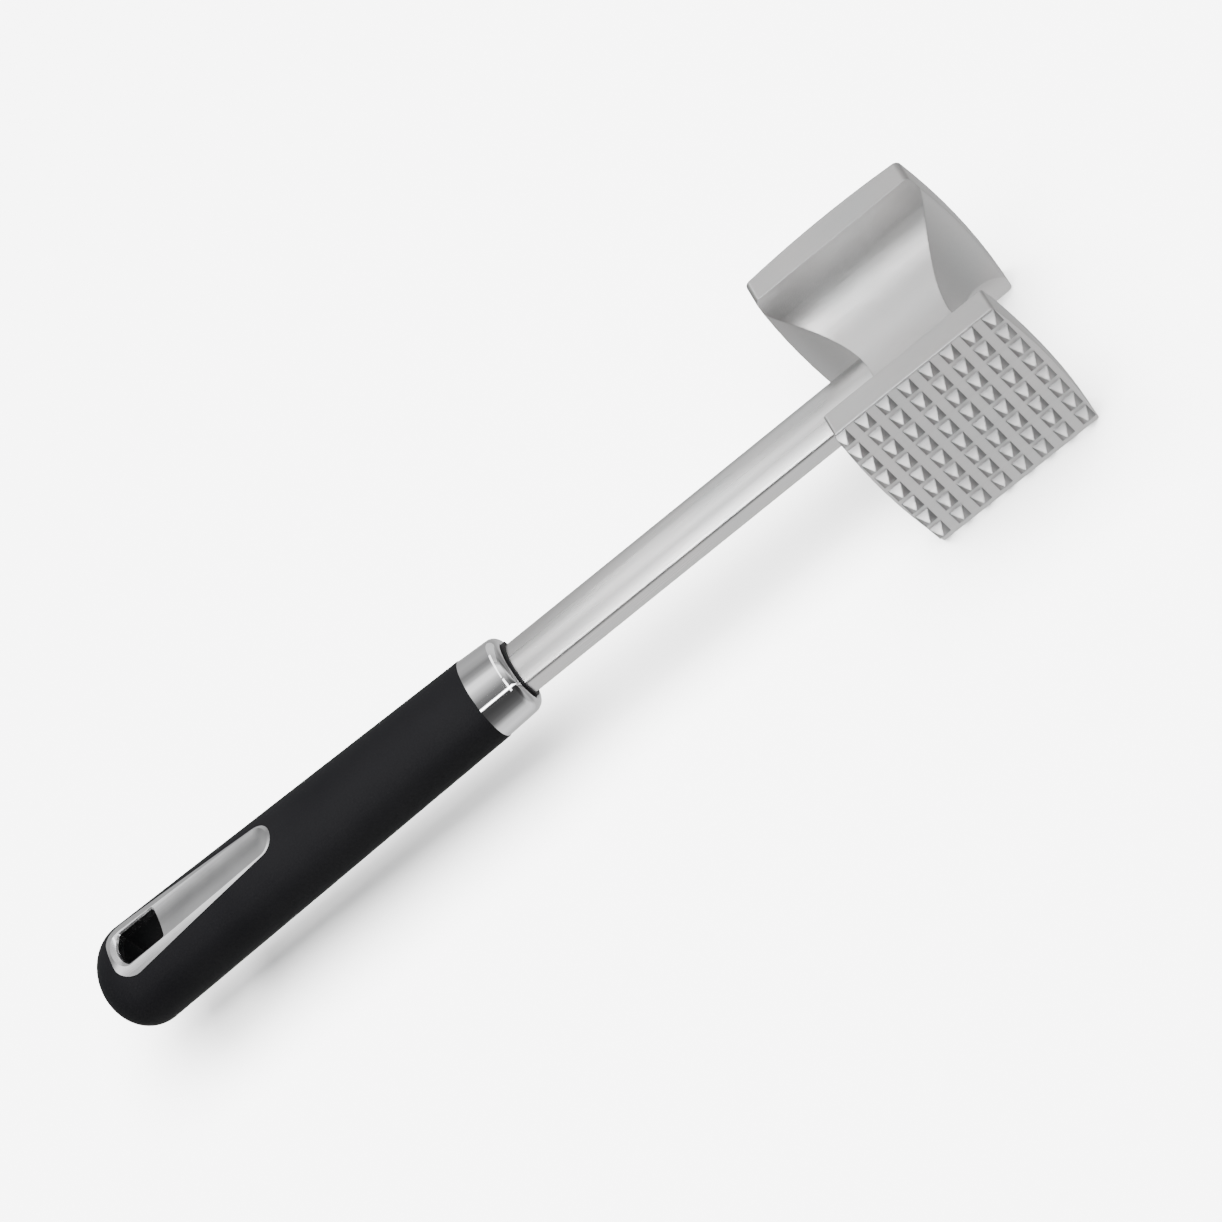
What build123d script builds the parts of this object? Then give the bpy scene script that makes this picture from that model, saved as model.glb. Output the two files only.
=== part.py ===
"""Meat mallet: a one piece cast head and shaft in an oval handle with a hanging hole.

Every piece is drawn in the mallet's own frame: the handle axis is the X axis, the head's middle
is at X = 0 and the butt is at -X. Y is the strike axis, with the toothed face at -Y, and Z is
the width of the head. Each piece is moved to the row frame as it is written: the row frame's
origin is under the middle of the mallet, which lies on its side on the head's lower rims.
"""
import os

from build123d import *

# Head, millimetres
HEAD_WIDTH = 47.0  # along Z
HEAD_LENGTH_CORNER = 44.2  # along X, at the corners
HEAD_SIDE_CROWN = 1.4  # bulge of each X side in its middle
TOOTHED_REACH = 29.4  # handle axis to the toothed face
SMOOTH_REACH = 27.0  # handle axis to the smooth face, at its corners
SMOOTH_FACE_CROWN = 1.3  # bulge of the smooth face in its middle
RIM_THICKNESS = 6.8  # straight rim behind each face
WAIST_HALF_LENGTH = 11.2  # along X
WAIST_HALF_HEIGHT = 5.0  # along Z
SMOOTH_EDGE_ROUND = 0.5
TOOTHED_EDGE_ROUND = 0.3
SMOOTH_CORNER_ROUND = 1.5
TOOTHED_CORNER_ROUND = 0.8

# Teeth
TOOTH_COUNT = 8
TOOTH_PITCH_LENGTH = 5.9  # along X
TOOTH_PITCH_WIDTH = 5.8  # along Z
TOOTH_BASE_LENGTH = 3.6
TOOTH_BASE_WIDTH = 4.6
TOOTH_HEIGHT = 2.3
TOOTH_TIP = 0.35
TOOTH_ROOT_SINK = 0.4
TOOTH_GRID_X = -0.4  # the grid sits a little off the middle of the face
TOOTH_GRID_Z = 0.5

# Shaft and tang
SHAFT_WIDTH = 14.2  # along Y
SHAFT_EDGE_THICKNESS = 4.0
SHAFT_CROWN = 3.0  # rise of each broad face
SHAFT_EDGE_ROUND = 1.0
TANG_WIDTH = 9.0
TANG_THICKNESS = 5.0

# Stations along the handle, measured back from the head's middle
FERRULE_FRONT = 117.5
FERRULE_BACK = 128.3
TANG_END = 205.0
DOME_START = 232.7
BUTT_END = 243.6

# Handle section: ovals with the wide axis along Y
OVAL_RATIO = 0.78
GRIP_FRONT_RADIUS = 11.75
GRIP_REAR_RADIUS = 14.1
GRIP_WALL = 2.4
FERRULE_FRONT_RADIUS = 11.0
FERRULE_BACK_RADIUS = 11.6
FERRULE_WALL = 1.2
FERRULE_FACE_WALL = 1.8
FERRULE_ROUND = 2.6
MOUTH_GAP = 0.9  # filled by the gasket
MOUTH_CHAMFER = 0.6
GASKET_PROUD = 0.55  # stands out in front of the ferrule
GASKET_DEPTH = 1.9
FIT_GAP = 0.1

# Hanger plates and hanging hole
PLATE_TIP_STATION = 190.3
PLATE_TIP_RADIUS = 4.6
PLATE_CORNER_STATION = 229.7
PLATE_CORNER_SPACING = 6.8
PLATE_CORNER_RADIUS = 5.0
PLATE_FLOOR_HEIGHT = 7.6
PLATE_PROUD = 0.15
DISH_FLOOR_HEIGHT = 9.5
DISH_RADIUS = 25.0
DISH_MARGIN = 0.6
DISH_RUN_OUT = 4.0
DISH_TIP_RISE = 1.0
DISH_WIDE_RISE = 1.8
HOLE_FRONT = 220.4
HOLE_SIDE_END = 230.6
HOLE_BACK = 232.4
HOLE_WIDTH = 9.8
HOLE_CORNER_ROUND = 0.4
HOLE_LIP = 0.35
LINER_WALL = 0.9

# Fasteners
PIN_STATION = 150.0
PIN_RADIUS = 1.5
PIN_LENGTH = 13.4
PIN_CHAMFER = 0.3
SCREW_STATION = 211.5
SCREW_SPACING = 11.0
SCREW_SHANK_RADIUS = 1.1
SCREW_SHANK_LENGTH = 10.5
SCREW_HEAD_RADIUS = 2.0
SCREW_HEAD_HEIGHT = 1.4
SCREW_HEAD_TOP = 6.0
SCREW_SLOT_RADIUS = 0.8
SCREW_SLOT_DEPTH = 0.7

# Worked out sizes
HALF_WIDTH = HEAD_WIDTH / 2
HALF_LENGTH_CORNER = HEAD_LENGTH_CORNER / 2
HALF_LENGTH = HALF_LENGTH_CORNER + HEAD_SIDE_CROWN
TOOTHED_RIM = TOOTHED_REACH - RIM_THICKNESS
SMOOTH_RIM = SMOOTH_REACH - RIM_THICKNESS
SMOOTH_CROWNED = SMOOTH_REACH + SMOOTH_FACE_CROWN
WAIST_Y = (SMOOTH_RIM - TOOTHED_RIM) / 2
FLARE_RUN = (SMOOTH_RIM + TOOTHED_RIM) / 2
CORE_GAP_WALL = GRIP_WALL + FIT_GAP
FAR = 400.0  # longer than the mallet, for cuts that run right through

ROW_SHIFT = Location(
    (
        (BUTT_END - HALF_LENGTH) / 2,
        (TOOTHED_REACH + TOOTH_HEIGHT - SMOOTH_CROWNED) / 2,
        HALF_WIDTH,
    )
)


def section_plane(station):
    """Plane across the handle: local x is the strike axis and local y is up."""
    return Plane(origin=(-station, 0, 0), x_dir=(0, 1, 0), z_dir=(1, 0, 0))


def face_plane(reach):
    """Plane parallel to the toothed face, at a distance from the axis, looking out at -Y."""
    return Plane(origin=(0, -reach, 0), x_dir=(1, 0, 0), z_dir=(0, -1, 0))


def grip_radius(station):
    """Outer radius of the grip along Y, which grows evenly from the ferrule to the butt."""
    share = (station - FERRULE_BACK) / (DOME_START - FERRULE_BACK)
    return GRIP_FRONT_RADIUS + share * (GRIP_REAR_RADIUS - GRIP_FRONT_RADIUS)


def head_plan(corner_round):
    """Outline of a striking face: two straight sides and two crowned ones."""
    corner = (HALF_LENGTH_CORNER, HALF_WIDTH)
    with BuildSketch() as plan:
        with BuildLine():
            Line((-corner[0], corner[1]), corner)
            ThreePointArc(corner, (HALF_LENGTH, 0), (corner[0], -corner[1]))
            Line((corner[0], -corner[1]), (-corner[0], -corner[1]))
            ThreePointArc((-corner[0], -corner[1]), (-HALF_LENGTH, 0), (-corner[0], corner[1]))
        make_face()
        fillet(plan.vertices(), corner_round)
    return plan.sketch


def shaft_section(margin=0.0):
    """Section of the shaft: two flat edges and two crowned broad faces."""
    half_width = SHAFT_WIDTH / 2
    half_edge = SHAFT_EDGE_THICKNESS / 2
    top = half_edge + SHAFT_CROWN
    with BuildSketch() as section:
        with BuildLine():
            Line((half_width, -half_edge), (half_width, half_edge))
            ThreePointArc((half_width, half_edge), (0, top), (-half_width, half_edge))
            Line((-half_width, half_edge), (-half_width, -half_edge))
            ThreePointArc((-half_width, -half_edge), (0, -top), (half_width, -half_edge))
        make_face()
        fillet(section.vertices(), SHAFT_EDGE_ROUND)
        if margin:
            offset(amount=margin)
    return section.sketch


def teardrop(margin=0.0):
    """Outline of a hanger plate: a round tip and a blunt wide end, joined by tangents."""
    with BuildSketch() as drop:
        with Locations((-PLATE_TIP_STATION, 0)):
            Circle(PLATE_TIP_RADIUS + margin)
        with Locations((-PLATE_CORNER_STATION, 0)):
            with GridLocations(0, PLATE_CORNER_SPACING, 1, 2):
                Circle(PLATE_CORNER_RADIUS + margin)
        make_hull()
    return drop.sketch


def hole_outline(margin=0.0):
    """Outline of the hanging hole: square towards the head and bowed towards the butt."""
    half_width = HOLE_WIDTH / 2
    with BuildSketch() as hole:
        with BuildLine():
            Polyline(
                (-HOLE_SIDE_END, half_width),
                (-HOLE_FRONT, half_width),
                (-HOLE_FRONT, -half_width),
                (-HOLE_SIDE_END, -half_width),
            )
            ThreePointArc(
                (-HOLE_SIDE_END, -half_width), (-HOLE_BACK, 0), (-HOLE_SIDE_END, half_width)
            )
        make_face()
        fillet(hole.vertices(), HOLE_CORNER_ROUND)
        if margin:
            offset(amount=margin)
    return hole.sketch


def handle_solid(inset):
    """Solid oval of the handle with its domed butt, set in from the grip's outer surface."""
    front = (-FERRULE_BACK, grip_radius(FERRULE_BACK) - inset)
    shoulder = (-DOME_START, grip_radius(DOME_START) - inset)
    with BuildPart() as solid:
        with BuildSketch(Plane.XY):
            with BuildLine():
                Polyline(shoulder, front, (front[0], 0), (-BUTT_END + inset, 0))
                EllipticalCenterArc(
                    (-DOME_START, 0),
                    BUTT_END - DOME_START - inset,
                    shoulder[1],
                    start_angle=90,
                    arc_size=90,
                )
            make_face()
        revolve(axis=Axis.X)
        scale(by=(1, 1, OVAL_RATIO))
    return solid.part


def dish_cutter():
    """Wide shallow roller that hollows a plate, with its floor curving up at both ends."""
    tip_end = -PLATE_TIP_STATION + PLATE_TIP_RADIUS - DISH_MARGIN
    wide_end = -PLATE_CORNER_STATION - PLATE_CORNER_RADIUS + DISH_MARGIN
    axis_height = DISH_FLOOR_HEIGHT + DISH_RADIUS
    floor_tip = (tip_end - DISH_RUN_OUT, DISH_FLOOR_HEIGHT)
    floor_wide = (wide_end + DISH_RUN_OUT, DISH_FLOOR_HEIGHT)
    lip_tip = (tip_end, DISH_FLOOR_HEIGHT + DISH_TIP_RISE)
    lip_wide = (wide_end, DISH_FLOOR_HEIGHT + DISH_WIDE_RISE)
    with BuildPart() as cutter:
        with BuildSketch(Plane.XZ):
            with BuildLine():
                TangentArc(floor_tip, lip_tip, tangent=(1, 0))
                Polyline(lip_tip, (tip_end, axis_height), (wide_end, axis_height), lip_wide)
                TangentArc(floor_wide, lip_wide, tangent=(-1, 0))
                Line(floor_wide, floor_tip)
            make_face()
        revolve(axis=Axis((0, 0, axis_height), (1, 0, 0)))
    return cutter.part


# One tooth of the toothed face: a blunt pyramid that points along +Z of its own plane
with BuildPart() as tooth:
    with BuildSketch(Plane.XY.offset(-TOOTH_ROOT_SINK)):
        Rectangle(TOOTH_BASE_LENGTH, TOOTH_BASE_WIDTH)
    with BuildSketch(Plane.XY):
        Rectangle(TOOTH_BASE_LENGTH, TOOTH_BASE_WIDTH)
    loft(ruled=True)
    with BuildSketch(Plane.XY):
        Rectangle(TOOTH_BASE_LENGTH, TOOTH_BASE_WIDTH)
    with BuildSketch(Plane.XY.offset(TOOTH_HEIGHT)):
        Rectangle(TOOTH_TIP, TOOTH_TIP)
    loft(ruled=True)

# Space that the head stays within: the crowned face outline, drawn out along the strike axis,
# with sharper corners at the toothed block than at the smooth one
with BuildPart() as head_envelope:
    with BuildSketch(face_plane(-WAIST_Y)):
        add(head_plan(TOOTHED_CORNER_ROUND))
    extrude(amount=TOOTHED_REACH + TOOTH_HEIGHT + WAIST_Y)
    with BuildSketch(face_plane(-WAIST_Y)):
        add(head_plan(SMOOTH_CORNER_ROUND))
    extrude(amount=-(SMOOTH_CROWNED - WAIST_Y))

# Head, shaft and tang: one casting. The head is where three extruded outlines meet: the plan
# with its narrow waist, the side view with its thin waist, and the crowned face outline.
with BuildPart() as head_casting:
    with BuildSketch(Plane.XY.offset(-HALF_WIDTH)) as plan_view:
        with BuildLine():
            TangentArc((0, SMOOTH_CROWNED), (HALF_LENGTH, SMOOTH_REACH), tangent=(1, 0))
            Line((HALF_LENGTH, SMOOTH_REACH), (HALF_LENGTH, SMOOTH_RIM))
            TangentArc(
                (WAIST_HALF_LENGTH, WAIST_Y), (HALF_LENGTH, SMOOTH_RIM), tangent=(0, 1)
            )
            TangentArc(
                (WAIST_HALF_LENGTH, WAIST_Y), (HALF_LENGTH, -TOOTHED_RIM), tangent=(0, -1)
            )
            Polyline(
                (HALF_LENGTH, -TOOTHED_RIM),
                (HALF_LENGTH, -TOOTHED_REACH),
                (0, -TOOTHED_REACH),
                (0, SMOOTH_CROWNED),
            )
        make_face()
        mirror(about=Plane.YZ)
    extrude(amount=HEAD_WIDTH)

    with BuildSketch(Plane.YZ.offset(-HALF_LENGTH)) as side_view:
        with BuildLine():
            Polyline(
                (-TOOTHED_RIM, HALF_WIDTH),
                (-TOOTHED_REACH + TOOTHED_EDGE_ROUND, HALF_WIDTH),
            )
            RadiusArc(
                (-TOOTHED_REACH + TOOTHED_EDGE_ROUND, HALF_WIDTH),
                (-TOOTHED_REACH, HALF_WIDTH - TOOTHED_EDGE_ROUND),
                -TOOTHED_EDGE_ROUND,
            )
            Polyline(
                (-TOOTHED_REACH, HALF_WIDTH - TOOTHED_EDGE_ROUND),
                (-TOOTHED_REACH, 0),
                (SMOOTH_CROWNED, 0),
                (SMOOTH_CROWNED, HALF_WIDTH),
                (SMOOTH_RIM, HALF_WIDTH),
            )
            EllipticalCenterArc(
                (WAIST_Y, HALF_WIDTH),
                FLARE_RUN,
                HALF_WIDTH - WAIST_HALF_HEIGHT,
                start_angle=180,
                arc_size=180,
            )
        make_face()
        mirror(about=Plane.XZ)
    extrude(amount=2 * HALF_LENGTH, mode=Mode.INTERSECT)

    with Locations(face_plane(TOOTHED_REACH)):
        with Locations((TOOTH_GRID_X, TOOTH_GRID_Z)):
            with GridLocations(
                TOOTH_PITCH_LENGTH, TOOTH_PITCH_WIDTH, TOOTH_COUNT, TOOTH_COUNT
            ):
                add(tooth.part)

    add(head_envelope.part, mode=Mode.INTERSECT)
    smooth_face = head_casting.faces().sort_by(Axis.Y)[-1]
    fillet(smooth_face.edges(), SMOOTH_EDGE_ROUND)

    with BuildSketch(section_plane(0)):
        add(shaft_section())
    extrude(amount=-FERRULE_FRONT - FERRULE_FACE_WALL)
    with BuildSketch(section_plane(FERRULE_FRONT)):
        Rectangle(TANG_WIDTH, TANG_THICKNESS)
    extrude(amount=-(TANG_END - FERRULE_FRONT))
    with BuildSketch(Plane.XY):
        with Locations((-PIN_STATION, 0)):
            Circle(PIN_RADIUS)
    extrude(amount=TANG_THICKNESS, both=True, mode=Mode.SUBTRACT)

# Black ring that closes the gap between the shaft and the ferrule's mouth
with BuildPart() as collar_gasket:
    with BuildSketch(section_plane(FERRULE_FRONT - GASKET_PROUD)):
        add(shaft_section(MOUTH_GAP - FIT_GAP / 2))
        add(shaft_section(FIT_GAP / 2), mode=Mode.SUBTRACT)
    extrude(amount=-GASKET_DEPTH)

# Ferrule: an oval cup over the front of the core, with a mouth for the shaft
with BuildPart() as ferrule:
    with BuildSketch(Plane.XY) as ferrule_profile:
        with BuildLine():
            Polyline(
                (-FERRULE_BACK, FERRULE_BACK_RADIUS),
                (-FERRULE_FRONT, FERRULE_FRONT_RADIUS),
                (-FERRULE_FRONT, 0),
                (-FERRULE_FRONT - FERRULE_FACE_WALL, 0),
                (-FERRULE_FRONT - FERRULE_FACE_WALL, FERRULE_FRONT_RADIUS - FERRULE_WALL),
                (-FERRULE_BACK, FERRULE_BACK_RADIUS - FERRULE_WALL),
                close=True,
            )
        make_face()
        front_corner = ferrule_profile.vertices().group_by(Axis.X)[-1].sort_by(Axis.Y)[-1]
        fillet(front_corner, FERRULE_ROUND)
    revolve(axis=Axis.X)
    scale(by=(1, 1, OVAL_RATIO))
    with BuildSketch(section_plane(FERRULE_FRONT)):
        add(shaft_section(MOUTH_GAP))
    extrude(amount=-FERRULE_FACE_WALL, mode=Mode.SUBTRACT)
    with BuildSketch(section_plane(FERRULE_FRONT)):
        add(shaft_section(MOUTH_GAP + MOUTH_CHAMFER))
    with BuildSketch(section_plane(FERRULE_FRONT + MOUTH_CHAMFER)):
        add(shaft_section(MOUTH_GAP))
    loft(mode=Mode.SUBTRACT)

# Soft grip: an oval sleeve with a closed butt and a teardrop window on each broad side
with BuildPart() as grip_sleeve:
    add(handle_solid(0))
    add(handle_solid(GRIP_WALL), mode=Mode.SUBTRACT)
    with BuildSketch(Plane.XY):
        add(teardrop())
    extrude(amount=FAR, both=True, mode=Mode.SUBTRACT)


def core_blank():
    """Solid that fills the sleeve and the ferrule, with pockets for what passes through it."""
    spigot_radius = FERRULE_FRONT_RADIUS - FERRULE_WALL - FIT_GAP
    with BuildPart() as blank:
        add(handle_solid(CORE_GAP_WALL))
        with BuildSketch(section_plane(FERRULE_BACK)):
            Ellipse(spigot_radius, spigot_radius * OVAL_RATIO - FIT_GAP)
        extrude(amount=FERRULE_BACK - FERRULE_FRONT - FERRULE_FACE_WALL - FIT_GAP)
        with BuildSketch(section_plane(0)):
            Rectangle(TANG_WIDTH + FIT_GAP, TANG_THICKNESS + FIT_GAP)
        extrude(amount=-TANG_END - FIT_GAP, mode=Mode.SUBTRACT)
        for side in (1, -1):
            with BuildSketch(Plane.XY.offset(side * (PLATE_FLOOR_HEIGHT - FIT_GAP))):
                add(teardrop(FIT_GAP))
            extrude(amount=side * FAR, mode=Mode.SUBTRACT)
        with BuildSketch(Plane.XY):
            add(hole_outline(LINER_WALL + FIT_GAP))
        extrude(amount=FAR, both=True, mode=Mode.SUBTRACT)
        with BuildSketch(Plane.XY):
            with Locations((-PIN_STATION, 0)):
                Circle(PIN_RADIUS)
        extrude(amount=PIN_LENGTH / 2, both=True, mode=Mode.SUBTRACT)
        with BuildSketch(Plane.XY.offset(SCREW_HEAD_TOP - SCREW_HEAD_HEIGHT)):
            with Locations((-SCREW_STATION, 0)):
                with GridLocations(0, SCREW_SPACING, 1, 2):
                    Circle(SCREW_HEAD_RADIUS + FIT_GAP)
        extrude(amount=FAR, mode=Mode.SUBTRACT)
        with BuildSketch(Plane.XY.offset(SCREW_HEAD_TOP)):
            with Locations((-SCREW_STATION, 0)):
                with GridLocations(0, SCREW_SPACING, 1, 2):
                    Circle(SCREW_SHANK_RADIUS)
        extrude(amount=-SCREW_HEAD_HEIGHT - SCREW_SHANK_LENGTH, mode=Mode.SUBTRACT)
    return blank.part


# Core: two hard half shells that meet on the middle plane round the tang
with BuildPart() as core_shell_upper:
    add(core_blank())
    split(bisect_by=Plane.XY, keep=Keep.TOP)

with BuildPart() as core_shell_lower:
    add(core_blank())
    split(bisect_by=Plane.XY, keep=Keep.BOTTOM)

# Cross pin that holds the tang between the half shells
with BuildPart() as tang_pin:
    with BuildSketch(Plane.XY):
        with Locations((-PIN_STATION, 0)):
            Circle(PIN_RADIUS)
    extrude(amount=PIN_LENGTH / 2, both=True)
    chamfer(tang_pin.edges().filter_by(GeomType.CIRCLE), PIN_CHAMFER)

# Two self-tapping screws behind the tang, under the upper hanger plate
with BuildPart() as core_screws:
    with Locations((-SCREW_STATION, 0, SCREW_HEAD_TOP)):
        with GridLocations(0, SCREW_SPACING, 1, 2):
            Cylinder(
                SCREW_HEAD_RADIUS,
                SCREW_HEAD_HEIGHT,
                align=(Align.CENTER, Align.CENTER, Align.MAX),
            )
            Cylinder(
                SCREW_SHANK_RADIUS,
                SCREW_HEAD_HEIGHT + SCREW_SHANK_LENGTH,
                align=(Align.CENTER, Align.CENTER, Align.MAX),
            )
            Cylinder(
                SCREW_SLOT_RADIUS,
                SCREW_SLOT_DEPTH,
                align=(Align.CENTER, Align.CENTER, Align.MAX),
                mode=Mode.SUBTRACT,
            )

# Upper hanger plate: teardrop, level with the grip at its rim, dished and pierced
with BuildPart() as hanger_plate_upper:
    add(handle_solid(-PLATE_PROUD))
    with BuildSketch(Plane.XY.offset(PLATE_FLOOR_HEIGHT)):
        add(teardrop(-FIT_GAP / 2))
    extrude(amount=FAR, mode=Mode.INTERSECT)
    add(dish_cutter(), mode=Mode.SUBTRACT)
    with BuildSketch(Plane.XY.offset(PLATE_FLOOR_HEIGHT)):
        add(hole_outline())
    extrude(amount=FAR, mode=Mode.SUBTRACT)
    lip_edges = (
        hanger_plate_upper.edges()
        .filter_by_position(Axis.Z, DISH_FLOOR_HEIGHT - HOLE_LIP, GRIP_REAR_RADIUS)
        .filter_by_position(Axis.X, -HOLE_BACK - HOLE_LIP, -HOLE_FRONT + HOLE_LIP)
        .filter_by_position(Axis.Y, -HOLE_WIDTH / 2 - HOLE_LIP, HOLE_WIDTH / 2 + HOLE_LIP)
    )
    chamfer(lip_edges, HOLE_LIP)

# Lower hanger plate: the same on the other broad side
with BuildPart() as hanger_plate_lower:
    add(hanger_plate_upper.part.mirror(Plane.XY))

# Liner: black tube of the hole's own outline between the two plates
with BuildPart() as hanger_liner:
    with BuildSketch(Plane.XY):
        add(hole_outline(LINER_WALL))
        add(hole_outline(), mode=Mode.SUBTRACT)
    extrude(amount=PLATE_FLOOR_HEIGHT, both=True)

pieces = {
    "head_casting": head_casting,
    "collar_gasket": collar_gasket,
    "ferrule": ferrule,
    "grip_sleeve": grip_sleeve,
    "core_shell_upper": core_shell_upper,
    "core_shell_lower": core_shell_lower,
    "tang_pin": tang_pin,
    "core_screws": core_screws,
    "hanger_plate_upper": hanger_plate_upper,
    "hanger_plate_lower": hanger_plate_lower,
    "hanger_liner": hanger_liner,
}

os.makedirs("parts", exist_ok=True)
for name, piece in pieces.items():
    placed = piece.part.moved(ROW_SHIFT)
    placed.label = name
    export_step(placed, f"parts/{name}.step")
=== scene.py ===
from math import cos, pi, radians, sin

import bpy
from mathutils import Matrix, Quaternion, Vector


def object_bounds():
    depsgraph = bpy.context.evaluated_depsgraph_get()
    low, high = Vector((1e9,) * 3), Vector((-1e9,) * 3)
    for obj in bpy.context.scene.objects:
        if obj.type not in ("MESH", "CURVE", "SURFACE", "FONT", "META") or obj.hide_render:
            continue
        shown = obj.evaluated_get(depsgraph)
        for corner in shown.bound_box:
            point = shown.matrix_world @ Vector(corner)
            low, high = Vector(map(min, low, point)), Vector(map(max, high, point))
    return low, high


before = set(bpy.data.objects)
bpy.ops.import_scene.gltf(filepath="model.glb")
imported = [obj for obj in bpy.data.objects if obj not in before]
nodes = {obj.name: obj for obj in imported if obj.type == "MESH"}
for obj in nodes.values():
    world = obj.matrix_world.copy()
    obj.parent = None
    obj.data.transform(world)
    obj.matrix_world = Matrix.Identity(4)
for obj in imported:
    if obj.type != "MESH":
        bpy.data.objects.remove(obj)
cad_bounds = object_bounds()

# Camera: a long lens that looks down on the mallet from the toothed side, rolled so that the
# handle runs from the lower left to the upper right
LENS_MM = 138.5
SENSOR_MM = 36.0
CAMERA_DISTANCE = 1.060
CAMERA_AZIMUTH = radians(15.6)  # from -Y towards +X
CAMERA_ELEVATION = radians(42.9)
CAMERA_ROLL = radians(-49.65)
CAMERA_TARGET_OFFSET = Vector((0.0196, -0.00685, 0.0045))  # from the middle of the CAD box

FLOOR_SIZE = 8.0
FLOOR_COLOUR = (0.86, 0.86, 0.86, 1.0)
FLOOR_ROUGHNESS = 0.9
FLOOR_SPECULAR = 0.1

# Overhead light that whitens the floor and is not mirrored in the metal
WASH_SIZE = 2.4
WASH_HEIGHT = 1.8
WASH_POWER = 400.0

# Reflection cards near the shaft, which only the metal mirrors: degrees from straight up towards
# the camera's side at the middle, width across, start and end along X, and radiance
CARD_DISTANCE = 0.30
CARDS = {
    "front_card": (30.0, 0.20, -0.038, 0.045, 4.8),
    "back_card": (-62.0, 0.36, -0.05, 0.16, 0.48),
    "middle_card": (-22.0, 0.34, -0.038, 0.0, 2.8),
}

# Studio: degrees from straight up towards the camera's side, and the radiance there
STUDIO_BANDS = (
    (-160.0, 0.80),
    (-134.0, 0.80),
    (-100.0, 0.50),
    (-70.0, 0.60),
    (-56.0, 0.50),
    (-46.0, 0.30),
    (-37.0, 0.40),
    (-28.0, 0.8),
    (-21.0, 1.9),
    (-11.0, 1.9),
    (-2.0, 1.1),
    (9.0, 0.60),
    (19.0, 0.28),
    (34.5, 0.18),
    (37.3, 16.0),
    (38.9, 16.0),
    (41.0, 0.07),
    (61.0, 0.08),
    (80.0, 0.12),
    (97.0, 0.22),
    (108.0, 0.50),
    (121.0, 1.05),
    (150.0, 1.25),
    (180.0, 0.90),
)

# The studio's two ends, off the butt and the head, are darker: share of the direction that is
# along X where the fall starts and ends, and the light left there
STUDIO_END_START = 0.50
STUDIO_END_STOP = 0.74
STUDIO_END_LIGHT = 0.55

# Places on the casting, metres
SHAFT_ROOT_X = 0.098  # where the brushed shaft meets the blasted head
SHAFT_POLISH_FADE = 0.012  # length over which the polish gives way to the blasted finish
TOOTH_HEIGHT = 0.0023  # the tips touch the CAD box's -Y side
TOOTH_UNSHADED_TIP = TOOTH_HEIGHT / 3  # free of the painted shade
TOOTH_FOOT = 0.0001  # the painted shade ends within this height of the face between the teeth

# Colours
# Painted shade: a dark grey that darkens the teeth towards their roots, where shade falls between
# them
CASTING_PAINTED_SHADE = (0.30, 0.30, 0.305, 1.0)
ALUMINIUM = (0.70, 0.685, 0.68, 1.0)
ALUMINIUM_COOL = (0.67, 0.675, 0.675, 1.0)
CHROME = (0.84, 0.84, 0.85, 1.0)
SATIN_CHROME = (0.62, 0.62, 0.63, 1.0)
RUBBER_BLACK = (0.0019, 0.0019, 0.0022, 1.0)
RUBBER_WORN = (0.0028, 0.0028, 0.0031, 1.0)
PLASTIC_BLACK = (0.0015, 0.0015, 0.0016, 1.0)
PLASTIC_CORE = (0.05, 0.05, 0.055, 1.0)
STEEL = (0.56, 0.56, 0.57, 1.0)

# Roughness ranges and specular levels
CASTING_ROUGHNESS = (0.37, 0.47)
SHAFT_ROUGHNESS = (0.26, 0.34)
CHROME_ROUGHNESS = (0.03, 0.06)
SATIN_ROUGHNESS = (0.15, 0.22)
RUBBER_ROUGHNESS = (0.50, 0.60)
STEEL_ROUGHNESS = (0.28, 0.40)
SEAL_ROUGHNESS = 0.45
LINER_ROUGHNESS = 0.40
CORE_ROUGHNESS = 0.50
PLASTIC_ROUGHNESS_SPREAD = 0.08
RUBBER_SPECULAR = 0.05
PLASTIC_SPECULAR = 0.15

# Relief, metres
EDGE_SOFTENING = 0.0004
CASTING_GRAIN = 0.00004
CASTING_BRUSHING = 0.00003
CHROME_HAIRLINES = 0.000004
SATIN_BRUSHING = 0.00002
RUBBER_GRAIN = 0.00005
PLASTIC_PEEL = 0.00004
STEEL_MARKS = 0.00002


def box_middle(bounds):
    low, high = bounds
    return (Vector(low) + Vector(high)) / 2


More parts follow.
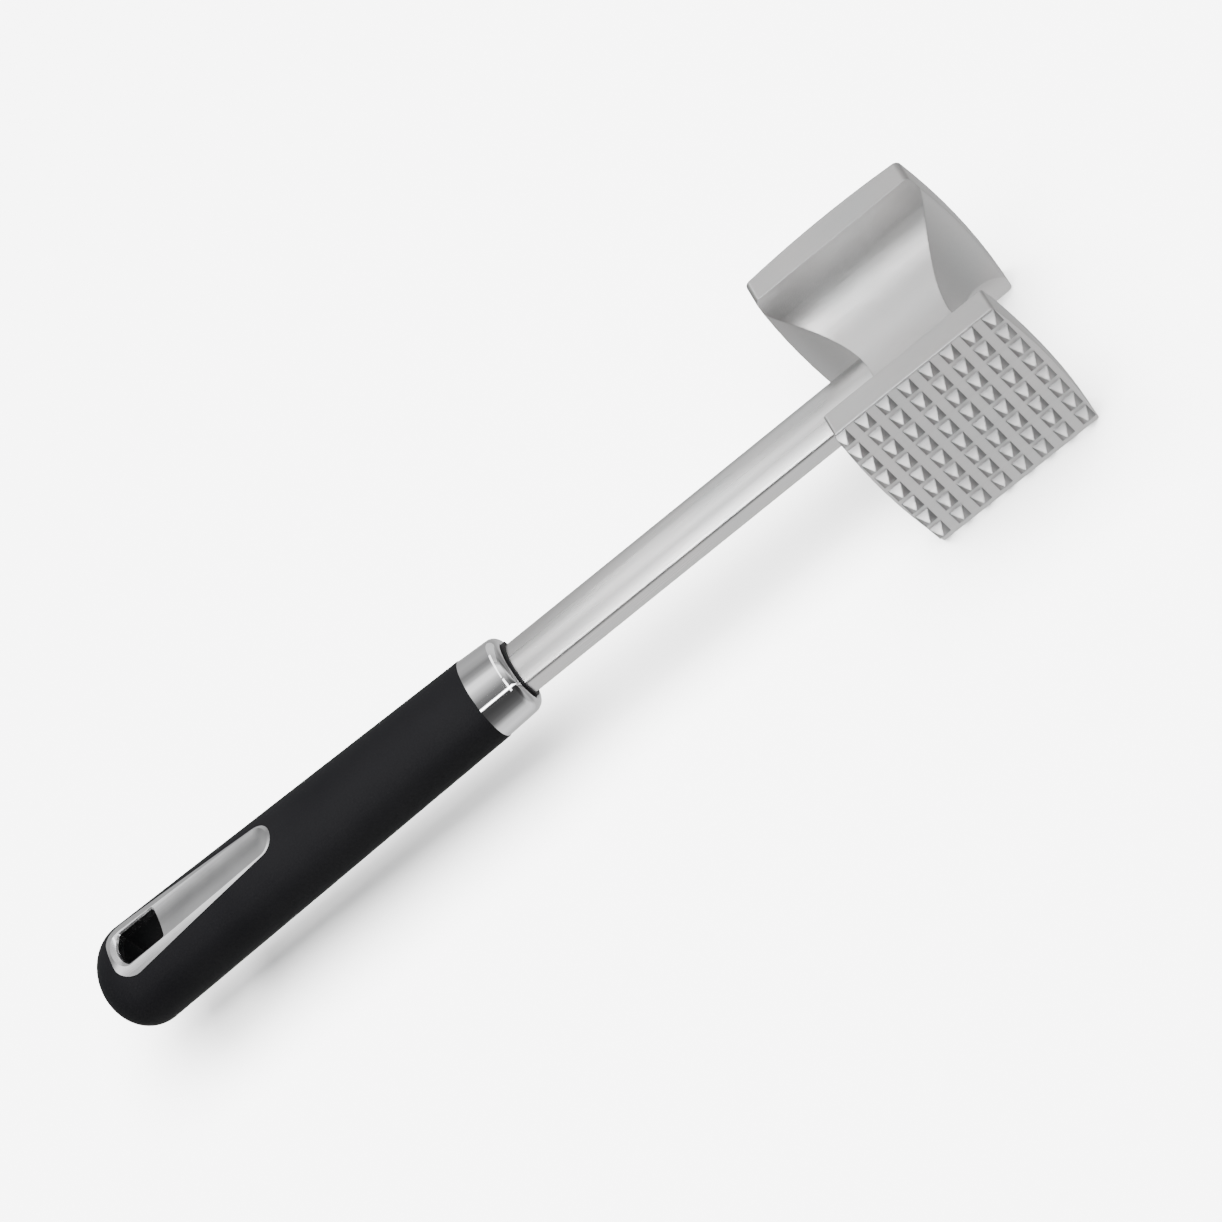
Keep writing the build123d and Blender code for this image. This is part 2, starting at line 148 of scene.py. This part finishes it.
class Shader:
    """A material under construction: a few short ways to add and link nodes."""

    def __init__(self, name):
        self.material = bpy.data.materials.new(name)
        self.material.use_nodes = True
        self.tree = self.material.node_tree
        self.bsdf = self.tree.nodes["Principled BSDF"]
        self.position = self.add("ShaderNodeTexCoord").outputs["Object"]

    def add(self, kind, **settings):
        node = self.tree.nodes.new(kind)
        for key, value in settings.items():
            setattr(node, key, value)
        return node

    def link(self, source, target):
        self.tree.links.new(source, target)

    def stretched(self, scale):
        """Position with each axis scaled, which stretches a texture along the small ones."""
        mapping = self.add("ShaderNodeMapping")
        mapping.inputs["Scale"].default_value = scale
        self.link(self.position, mapping.inputs["Vector"])
        return mapping.outputs["Vector"]

    def noise(self, vector, scale, detail=2.0, roughness=0.5):
        node = self.add("ShaderNodeTexNoise")
        node.inputs["Scale"].default_value = scale
        node.inputs["Detail"].default_value = detail
        node.inputs["Roughness"].default_value = roughness
        self.link(vector, node.inputs["Vector"])
        return node.outputs["Fac"]

    def spread(self, value, low, high, from_low=0.3, from_high=0.7):
        """Maps from_low..from_high, by default the middle of a noise's range, to low..high."""
        node = self.add("ShaderNodeMapRange")
        node.inputs["From Min"].default_value = from_low
        node.inputs["From Max"].default_value = from_high
        node.inputs["To Min"].default_value = low
        node.inputs["To Max"].default_value = high
        self.link(value, node.inputs["Value"])
        return node.outputs["Result"]

    def mix(self, factor, first, second):
        """Blend of two fixed colours."""
        node = self.add("ShaderNodeMix", data_type="RGBA")
        self.link(factor, node.inputs["Factor"])
        node.inputs["A"].default_value = first
        node.inputs["B"].default_value = second
        return node.outputs["Result"]

    def blend(self, factor, first, second):
        """Blend of two values that are textures themselves."""
        node = self.add("ShaderNodeMix", data_type="FLOAT")
        self.link(factor, node.inputs["Factor"])
        self.link(first, node.inputs["A"])
        self.link(second, node.inputs["B"])
        return node.outputs["Result"]

    def paint_shade(self, factor, colour, shade_colour):
        """Colour texture covered by a fixed colour, here a painted shade."""
        node = self.add("ShaderNodeMix", data_type="RGBA")
        self.link(factor, node.inputs["Factor"])
        self.link(colour, node.inputs["A"])
        node.inputs["B"].default_value = shade_colour
        return node.outputs["Result"]

    def product(self, first, second):
        node = self.add("ShaderNodeMath", operation="MULTIPLY")
        self.link(first, node.inputs[0])
        self.link(second, node.inputs[1])
        return node.outputs["Value"]

    def bump(self, height, distance, strength=1.0, below=None):
        node = self.add("ShaderNodeBump")
        node.inputs["Distance"].default_value = distance
        node.inputs["Strength"].default_value = strength
        self.link(height, node.inputs["Height"])
        if below is not None:
            self.link(below, node.inputs["Normal"])
        return node.outputs["Normal"]

    def finish(self, colour, roughness, normal, metallic=0.0):
        self.link(colour, self.bsdf.inputs["Base Color"])
        self.link(roughness, self.bsdf.inputs["Roughness"])
        self.link(normal, self.bsdf.inputs["Normal"])
        self.bsdf.inputs["Metallic"].default_value = metallic
        return self.material


def cast_aluminium():
    """Satin casting: blasted grain, a faint polish along the shaft, painted shade low on the
    teeth.
    """
    shader = Shader("cast_aluminium")
    cloud = shader.noise(shader.position, 60.0, detail=4.0)
    colour = shader.mix(shader.spread(cloud, 0.0, 1.0), ALUMINIUM, ALUMINIUM_COOL)
    brushing = shader.noise(shader.stretched((30.0, 1800.0, 1800.0)), 1.0, detail=3.0)
    place = shader.add("ShaderNodeSeparateXYZ")
    shader.link(shader.position, place.inputs["Vector"])
    tips = cad_bounds[0][1]
    face = tips + TOOTH_HEIGHT
    # Painted shade on the teeth: none on the top third, growing darker towards the roots, none on
    # the face between them
    shade_depth = shader.spread(place.outputs["Y"], 0.0, 1.0, tips + TOOTH_UNSHADED_TIP, face)
    on_teeth = shader.spread(place.outputs["Y"], 1.0, 0.0, face - TOOTH_FOOT, face)
    colour = shader.paint_shade(shader.product(shade_depth, on_teeth), colour, CASTING_PAINTED_SHADE)
    fade_start = SHAFT_ROOT_X - SHAFT_POLISH_FADE
    on_head = shader.spread(place.outputs["X"], 0.0, 1.0, fade_start, SHAFT_ROOT_X)
    satin = shader.spread(brushing, *CASTING_ROUGHNESS)
    roughness = shader.blend(on_head, shader.spread(brushing, *SHAFT_ROUGHNESS), satin)
    grain = shader.noise(shader.position, 3200.0, detail=2.0)
    edges = shader.add("ShaderNodeBevel", samples=6)
    edges.inputs["Radius"].default_value = EDGE_SOFTENING
    grained = shader.bump(grain, CASTING_GRAIN, strength=0.5, below=edges.outputs["Normal"])
    brushed = shader.bump(brushing, CASTING_BRUSHING, strength=0.35, below=grained)
    return shader.finish(colour, roughness, brushed, metallic=1.0)


def polished_chrome():
    """Mirror polish with the very fine hairlines of handling."""
    shader = Shader("polished_chrome")
    cloud = shader.noise(shader.position, 90.0, detail=3.0)
    colour = shader.mix(shader.spread(cloud, 0.0, 0.2), CHROME, SATIN_CHROME)
    hairlines = shader.noise(shader.stretched((250.0, 2500.0, 900.0)), 1.0, detail=4.0)
    roughness = shader.spread(hairlines, *CHROME_ROUGHNESS)
    normal = shader.bump(hairlines, CHROME_HAIRLINES, strength=0.2)
    return shader.finish(colour, roughness, normal, metallic=1.0)


def satin_chrome():
    """Satin plating, brushed along the handle."""
    shader = Shader("satin_chrome")
    cloud = shader.noise(shader.position, 120.0, detail=3.0)
    colour = shader.mix(shader.spread(cloud, 0.0, 0.6), CHROME, SATIN_CHROME)
    brushing = shader.noise(shader.stretched((60.0, 3000.0, 3000.0)), 1.0, detail=4.0)
    roughness = shader.spread(brushing, *SATIN_ROUGHNESS)
    normal = shader.bump(brushing, SATIN_BRUSHING, strength=0.35)
    return shader.finish(colour, roughness, normal, metallic=1.0)


def soft_rubber():
    """Matte black soft touch grip with a fine moulded grain and slight shine where it's held."""
    shader = Shader("soft_rubber")
    cloud = shader.noise(shader.position, 35.0, detail=4.0)
    colour = shader.mix(shader.spread(cloud, 0.0, 1.0), RUBBER_BLACK, RUBBER_WORN)
    roughness = shader.spread(cloud, *RUBBER_ROUGHNESS)
    grain = shader.noise(shader.position, 2600.0, detail=3.0)
    normal = shader.bump(grain, RUBBER_GRAIN, strength=0.45)
    material = shader.finish(colour, roughness, normal)
    shader.bsdf.inputs["Specular IOR Level"].default_value = RUBBER_SPECULAR
    return material


def moulded_plastic(name, colour_low, colour_high, smoothest):
    """Moulded plastic with a faint orange peel."""
    shader = Shader(name)
    cloud = shader.noise(shader.position, 80.0, detail=3.0)
    colour = shader.mix(shader.spread(cloud, 0.0, 1.0), colour_low, colour_high)
    roughness = shader.spread(cloud, smoothest, smoothest + PLASTIC_ROUGHNESS_SPREAD)
    peel = shader.noise(shader.position, 1400.0, detail=2.0)
    normal = shader.bump(peel, PLASTIC_PEEL, strength=0.4)
    material = shader.finish(colour, roughness, normal)
    shader.bsdf.inputs["Specular IOR Level"].default_value = PLASTIC_SPECULAR
    return material


def turned_steel():
    """Plain steel of the pin and screws, with turning marks."""
    shader = Shader("turned_steel")
    marks = shader.noise(shader.stretched((400.0, 400.0, 5000.0)), 1.0, detail=3.0)
    colour = shader.mix(shader.spread(marks, 0.0, 0.5), STEEL, ALUMINIUM)
    roughness = shader.spread(marks, *STEEL_ROUGHNESS)
    normal = shader.bump(marks, STEEL_MARKS, strength=0.3)
    return shader.finish(colour, roughness, normal, metallic=1.0)


def paint(material, *names):
    for name in names:
        slots = nodes[name].data.materials
        slots.clear()
        slots.append(material)


def make_floor():
    bpy.ops.mesh.primitive_plane_add(size=FLOOR_SIZE, location=(0, 0, 0))
    floor = bpy.context.object
    floor.name = "floor"
    material = bpy.data.materials.new("floor_paper")
    material.use_nodes = True
    bsdf = material.node_tree.nodes["Principled BSDF"]
    bsdf.inputs["Base Color"].default_value = FLOOR_COLOUR
    bsdf.inputs["Roughness"].default_value = FLOOR_ROUGHNESS
    bsdf.inputs["Specular IOR Level"].default_value = FLOOR_SPECULAR
    floor.data.materials.append(material)
    floor.visible_glossy = False


def make_wash():
    light = bpy.data.lights.new("wash", "AREA")
    light.size = WASH_SIZE
    light.energy = WASH_POWER
    holder = bpy.data.objects.new("wash", light)
    bpy.context.scene.collection.objects.link(holder)
    holder.location = (0, 0, WASH_HEIGHT)
    holder.visible_glossy = False


def make_card(name, degrees_up, width, start, end, radiance):
    """Flat light that faces the handle axis and shows only as a reflection."""
    light = bpy.data.lights.new(name, "AREA")
    light.shape = "RECTANGLE"
    light.size = end - start
    light.size_y = width
    light.energy = radiance * pi * width * (end - start)
    holder = bpy.data.objects.new(name, light)
    bpy.context.scene.collection.objects.link(holder)
    angle = radians(degrees_up)
    outward = Vector((0, -sin(angle), cos(angle)))
    axis_point = Vector(((start + end) / 2, 0, box_middle(cad_bounds).z))
    holder.location = axis_point + CARD_DISTANCE * outward
    holder.rotation_euler = (angle, 0, 0)
    holder.visible_camera = False
    holder.visible_diffuse = False


def make_studio():
    """Soft studio round the handle: brightness set by the angle about the X axis.

    The angle is 0 straight up, a quarter turn at the horizon on the camera's side and minus a
    quarter turn at the horizon behind the mallet. Both ends of the studio are darker.
    """
    world = bpy.data.worlds.new("studio")
    bpy.context.scene.world = world
    world.use_nodes = True
    tree = world.node_tree
    background = tree.nodes["Background"]
    direction = tree.nodes.new("ShaderNodeTexCoord")
    parts = tree.nodes.new("ShaderNodeSeparateXYZ")
    flip = tree.nodes.new("ShaderNodeMath")
    flip.operation = "MULTIPLY"
    flip.inputs[1].default_value = -1.0
    angle = tree.nodes.new("ShaderNodeMath")
    angle.operation = "ARCTAN2"
    share = tree.nodes.new("ShaderNodeMapRange")
    share.inputs["From Min"].default_value = -pi
    share.inputs["From Max"].default_value = pi
    ramp = tree.nodes.new("ShaderNodeValToRGB")
    tree.links.new(direction.outputs["Generated"], parts.inputs["Vector"])
    tree.links.new(parts.outputs["Y"], flip.inputs[0])
    tree.links.new(flip.outputs["Value"], angle.inputs[0])
    tree.links.new(parts.outputs["Z"], angle.inputs[1])
    tree.links.new(angle.outputs["Value"], share.inputs["Value"])
    tree.links.new(share.outputs["Result"], ramp.inputs["Fac"])
    tree.links.new(ramp.outputs["Color"], background.inputs["Color"])
    brightest = max(radiance for _, radiance in STUDIO_BANDS)
    sideways = tree.nodes.new("ShaderNodeMath")
    sideways.operation = "ABSOLUTE"
    ends = tree.nodes.new("ShaderNodeMapRange")
    ends.interpolation_type = "SMOOTHSTEP"
    ends.inputs["From Min"].default_value = STUDIO_END_START
    ends.inputs["From Max"].default_value = STUDIO_END_STOP
    ends.inputs["To Min"].default_value = brightest
    ends.inputs["To Max"].default_value = brightest * STUDIO_END_LIGHT
    tree.links.new(parts.outputs["X"], sideways.inputs[0])
    tree.links.new(sideways.outputs["Value"], ends.inputs["Value"])
    tree.links.new(ends.outputs["Result"], background.inputs["Strength"])
    stops = ramp.color_ramp.elements
    while len(stops) > 1:
        stops.remove(stops[-1])
    for degrees_up, radiance in STUDIO_BANDS:
        stop = stops.new((degrees_up + 180.0) / 360.0)
        level = radiance / brightest
        stop.color = (level, level, level, 1.0)
    stops.remove(stops[0])


def make_camera():
    camera = bpy.data.cameras.new("camera")
    camera.lens = LENS_MM
    camera.sensor_width = SENSOR_MM
    holder = bpy.data.objects.new("camera", camera)
    bpy.context.scene.collection.objects.link(holder)
    target = box_middle(cad_bounds) + CAMERA_TARGET_OFFSET
    outward = Vector(
        (
            sin(CAMERA_AZIMUTH) * cos(CAMERA_ELEVATION),
            -cos(CAMERA_AZIMUTH) * cos(CAMERA_ELEVATION),
            sin(CAMERA_ELEVATION),
        )
    )
    holder.location = target + CAMERA_DISTANCE * outward
    level = outward.to_track_quat("Z", "Y")
    holder.rotation_mode = "QUATERNION"
    holder.rotation_quaternion = level @ Quaternion((0, 0, 1), CAMERA_ROLL)
    bpy.context.scene.camera = holder


paint(cast_aluminium(), "head_casting")
paint(polished_chrome(), "ferrule")
paint(satin_chrome(), "hanger_plate_upper", "hanger_plate_lower")
paint(soft_rubber(), "grip_sleeve")
paint(moulded_plastic("black_seal", PLASTIC_BLACK, RUBBER_BLACK, SEAL_ROUGHNESS), "collar_gasket")
paint(moulded_plastic("black_liner", PLASTIC_BLACK, RUBBER_BLACK, LINER_ROUGHNESS), "hanger_liner")
paint(
    moulded_plastic("core_plastic", PLASTIC_CORE, RUBBER_WORN, CORE_ROUGHNESS),
    "core_shell_upper",
    "core_shell_lower",
)
paint(turned_steel(), "tang_pin", "core_screws")

make_floor()
make_wash()
for name, card in CARDS.items():
    make_card(name, *card)
make_studio()
make_camera()
